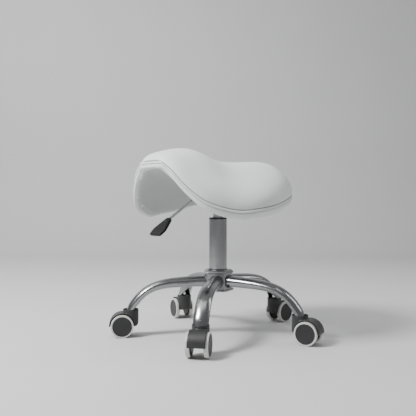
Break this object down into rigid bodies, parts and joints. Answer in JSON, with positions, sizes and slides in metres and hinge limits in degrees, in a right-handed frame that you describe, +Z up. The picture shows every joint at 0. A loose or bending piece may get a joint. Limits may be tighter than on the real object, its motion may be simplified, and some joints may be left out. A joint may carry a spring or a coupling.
{
  "type": "saddle stool",
  "caption": "Height-adjustable swivel stool: white saddle seat on a chrome gas-lift column, bent-tube star base and twin-wheel castors, with a height lever.",
  "frame": {"origin": "on the floor, on the axis of the column about which the seat turns", "axes": "+Z up along the column; -Y towards the seat's arched front and its lever; +X to the right of a person who looks along +Y; one arm of the base points along +Y"},
  "size_m": [0.5868, 0.5581, 0.5106],
  "materials": {
    "chrome_tube": "polished chrome-plated bent oval tube",
    "chrome_hub": "chrome-plated casting",
    "chrome_column": "polished chrome-plated tube",
    "chrome_lever": "chrome-plated round bar",
    "grey_cylinder": "satin grey gas cylinder",
    "bright_steel": "bright turned steel",
    "zinc_steel": "zinc-plated steel",
    "black_plate": "black powder-coated pressed steel",
    "black_nylon": "black moulded nylon",
    "black_core": "black moulded nylon wheel core",
    "ivory_tread": "ivory polyurethane tread",
    "black_bush": "black moulded guide bush",
    "black_rubber": "black rubber buffer",
    "black_paddle": "black moulded lever paddle",
    "plywood": "moulded birch plywood",
    "white_leatherette": "smooth white upholstery leatherette over foam",
    "grey_lining": "grey woven lining under the seat"
  },
  "bodies": {
    "base": {"base_hub": "chrome_hub", "base_arm_1": "chrome_tube", "base_arm_2": "chrome_tube", "base_arm_3": "chrome_tube", "base_arm_4": "chrome_tube", "base_arm_5": "chrome_tube", "castor_sockets": "bright_steel", "castor_1_stem": "bright_steel", "castor_2_stem": "bright_steel", "castor_3_stem": "bright_steel", "castor_4_stem": "bright_steel", "castor_5_stem": "bright_steel", "column_tube": "chrome_column", "guide_bush": "black_bush"},
    "gas_rod": {"piston_rod": "bright_steel", "thrust_bearing": "bright_steel", "rubber_buffer": "black_rubber", "retaining_clip": "bright_steel"},
    "seat": {"gas_cylinder": "grey_cylinder", "taper_socket": "black_plate", "mounting_plate": "black_plate", "mounting_bolts": "zinc_steel", "t_nuts": "zinc_steel", "seat_board": "plywood", "seat_pad": "white_leatherette", "underside_cover": "grey_lining", "lever_pivot_pin": "bright_steel"},
    "lever": {"lever_rod": "chrome_lever", "lever_paddle": "black_paddle"},
    "valve_pin": {"release_pin": "bright_steel"},
    "castor_1": {"castor_1_hood": "black_nylon", "castor_1_axle": "bright_steel"},
    "castor_1_left_wheel": {"castor_1_left_core": "black_core", "castor_1_left_tread": "ivory_tread"},
    "castor_1_right_wheel": {"castor_1_right_core": "black_core", "castor_1_right_tread": "ivory_tread"},
    "castor_2": {"castor_2_hood": "black_nylon", "castor_2_axle": "bright_steel"},
    "castor_2_left_wheel": {"castor_2_left_core": "black_core", "castor_2_left_tread": "ivory_tread"},
    "castor_2_right_wheel": {"castor_2_right_core": "black_core", "castor_2_right_tread": "ivory_tread"},
    "castor_3": {"castor_3_hood": "black_nylon", "castor_3_axle": "bright_steel"},
    "castor_3_left_wheel": {"castor_3_left_core": "black_core", "castor_3_left_tread": "ivory_tread"},
    "castor_3_right_wheel": {"castor_3_right_core": "black_core", "castor_3_right_tread": "ivory_tread"},
    "castor_4": {"castor_4_hood": "black_nylon", "castor_4_axle": "bright_steel"},
    "castor_4_left_wheel": {"castor_4_left_core": "black_core", "castor_4_left_tread": "ivory_tread"},
    "castor_4_right_wheel": {"castor_4_right_core": "black_core", "castor_4_right_tread": "ivory_tread"},
    "castor_5": {"castor_5_hood": "black_nylon", "castor_5_axle": "bright_steel"},
    "castor_5_left_wheel": {"castor_5_left_core": "black_core", "castor_5_left_tread": "ivory_tread"},
    "castor_5_right_wheel": {"castor_5_right_core": "black_core", "castor_5_right_tread": "ivory_tread"}
  },
  "joints": [
    {"name": "seat_swivel", "type": "hinge", "parent": "base", "child": "gas_rod", "pos_m": [0, 0, 0.13], "axis": [0, 0, 1], "continuous": true},
    {"name": "seat_lift", "type": "slide", "parent": "gas_rod", "child": "seat", "axis": [0, 0, 1], "range_m": [-0.04, 0.08]},
    {"name": "lever_pull", "type": "hinge", "parent": "seat", "child": "lever", "pos_m": [0, -0.03, 0.4144], "axis": [-1, 0, 0], "range_deg": [0, 6], "stiffness_Nm_per_rad": 8, "springref_deg": -2.86},
    {"name": "valve_press", "type": "slide", "parent": "seat", "child": "valve_pin", "axis": [0, 0, -1], "range_m": [0, 0.0036]},
    {"name": "castor_1_swivel", "type": "hinge", "parent": "base", "child": "castor_1", "pos_m": [0.14254, -0.19619, 0], "axis": [0, 0, 1], "continuous": true},
    {"name": "castor_1_left_roll", "type": "hinge", "parent": "castor_1", "child": "castor_1_left_wheel", "pos_m": [0.15618, -0.21496, 0.031], "axis": [0.809, 0.5878, 0], "continuous": true},
    {"name": "castor_1_right_roll", "type": "hinge", "parent": "castor_1", "child": "castor_1_right_wheel", "pos_m": [0.15618, -0.21496, 0.031], "axis": [0.809, 0.5878, 0], "continuous": true},
    {"name": "castor_2_swivel", "type": "hinge", "parent": "base", "child": "castor_2", "pos_m": [0.23063, 0.07494, 0], "axis": [0, 0, 1], "continuous": true},
    {"name": "castor_2_left_roll", "type": "hinge", "parent": "castor_2", "child": "castor_2_left_wheel", "pos_m": [0.2527, 0.08211, 0.031], "axis": [-0.309, 0.9511, 0], "continuous": true},
    {"name": "castor_2_right_roll", "type": "hinge", "parent": "castor_2", "child": "castor_2_right_wheel", "pos_m": [0.2527, 0.08211, 0.031], "axis": [-0.309, 0.9511, 0], "continuous": true},
    {"name": "castor_3_swivel", "type": "hinge", "parent": "base", "child": "castor_3", "pos_m": [0, 0.2425, 0], "axis": [0, 0, 1], "continuous": true},
    {"name": "castor_3_left_roll", "type": "hinge", "parent": "castor_3", "child": "castor_3_left_wheel", "pos_m": [0, 0.2657, 0.031], "axis": [-1, 0, 0], "continuous": true},
    {"name": "castor_3_right_roll", "type": "hinge", "parent": "castor_3", "child": "castor_3_right_wheel", "pos_m": [0, 0.2657, 0.031], "axis": [-1, 0, 0], "continuous": true},
    {"name": "castor_4_swivel", "type": "hinge", "parent": "base", "child": "castor_4", "pos_m": [-0.23063, 0.07494, 0], "axis": [0, 0, 1], "continuous": true},
    {"name": "castor_4_left_roll", "type": "hinge", "parent": "castor_4", "child": "castor_4_left_wheel", "pos_m": [-0.2527, 0.08211, 0.031], "axis": [-0.309, -0.9511, 0], "continuous": true},
    {"name": "castor_4_right_roll", "type": "hinge", "parent": "castor_4", "child": "castor_4_right_wheel", "pos_m": [-0.2527, 0.08211, 0.031], "axis": [-0.309, -0.9511, 0], "continuous": true},
    {"name": "castor_5_swivel", "type": "hinge", "parent": "base", "child": "castor_5", "pos_m": [-0.14254, -0.19619, 0], "axis": [0, 0, 1], "continuous": true},
    {"name": "castor_5_left_roll", "type": "hinge", "parent": "castor_5", "child": "castor_5_left_wheel", "pos_m": [-0.15618, -0.21496, 0.031], "axis": [0.809, -0.5878, 0], "continuous": true},
    {"name": "castor_5_right_roll", "type": "hinge", "parent": "castor_5", "child": "castor_5_right_wheel", "pos_m": [-0.15618, -0.21496, 0.031], "axis": [0.809, -0.5878, 0], "continuous": true}
  ],
  "couplings": [
    {"joint": "valve_press", "follows": "lever_pull", "m_per_rad": 0.0335}
  ]
}
